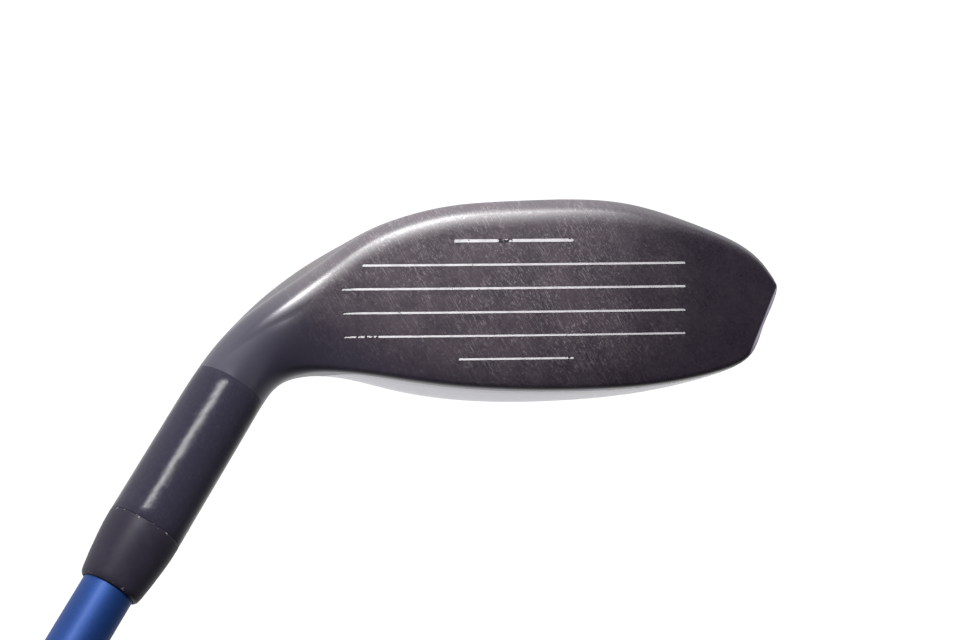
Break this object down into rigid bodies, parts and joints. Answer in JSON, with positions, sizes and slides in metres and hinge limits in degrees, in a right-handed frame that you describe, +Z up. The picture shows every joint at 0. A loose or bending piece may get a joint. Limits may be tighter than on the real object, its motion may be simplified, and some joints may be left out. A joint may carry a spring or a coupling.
{
  "type": "hybrid golf club",
  "caption": "Right-handed hybrid golf club with hollow lofted head, scored face, pearl crown, ferrule, tapered blue shaft and rubber grip.",
  "frame": {"origin": "middle of the small flat land under the sole, on the ground with the club at address", "axes": "+Z up from the ground; the face looks towards -Y; the toe points to -X; the shaft leans towards +X at its lie angle"},
  "size_m": [0.6061, 0.0676, 0.8735],
  "materials": {
    "head_satin_black": "satin dark gunmetal, glossy black on the hosel",
    "face_satin": "satin dark gunmetal with fine diagonal scratches and white painted score lines",
    "crown_pearl": "pearl white paint, clear coated",
    "weight_steel": "brushed steel",
    "ferrule_black": "glossy black",
    "shaft_blue": "metallic blue paint on carbon composite, clear coated",
    "pin_brass": "turned",
    "tape_paper": "matte",
    "grip_rubber": "matte, moulded texture",
    "cap_rubber": "smooth matte"
  },
  "bodies": {
    "root": {"head_body": "head_satin_black", "face_plate": "face_satin", "crown_plate": "crown_pearl", "sole_weight": "weight_steel", "ferrule": "ferrule_black", "shaft": "shaft_blue", "tip_weight_pin": "pin_brass", "grip_tape": "tape_paper", "grip_sleeve": "grip_rubber", "grip_cap": "cap_rubber"}
  },
  "joints": []
}
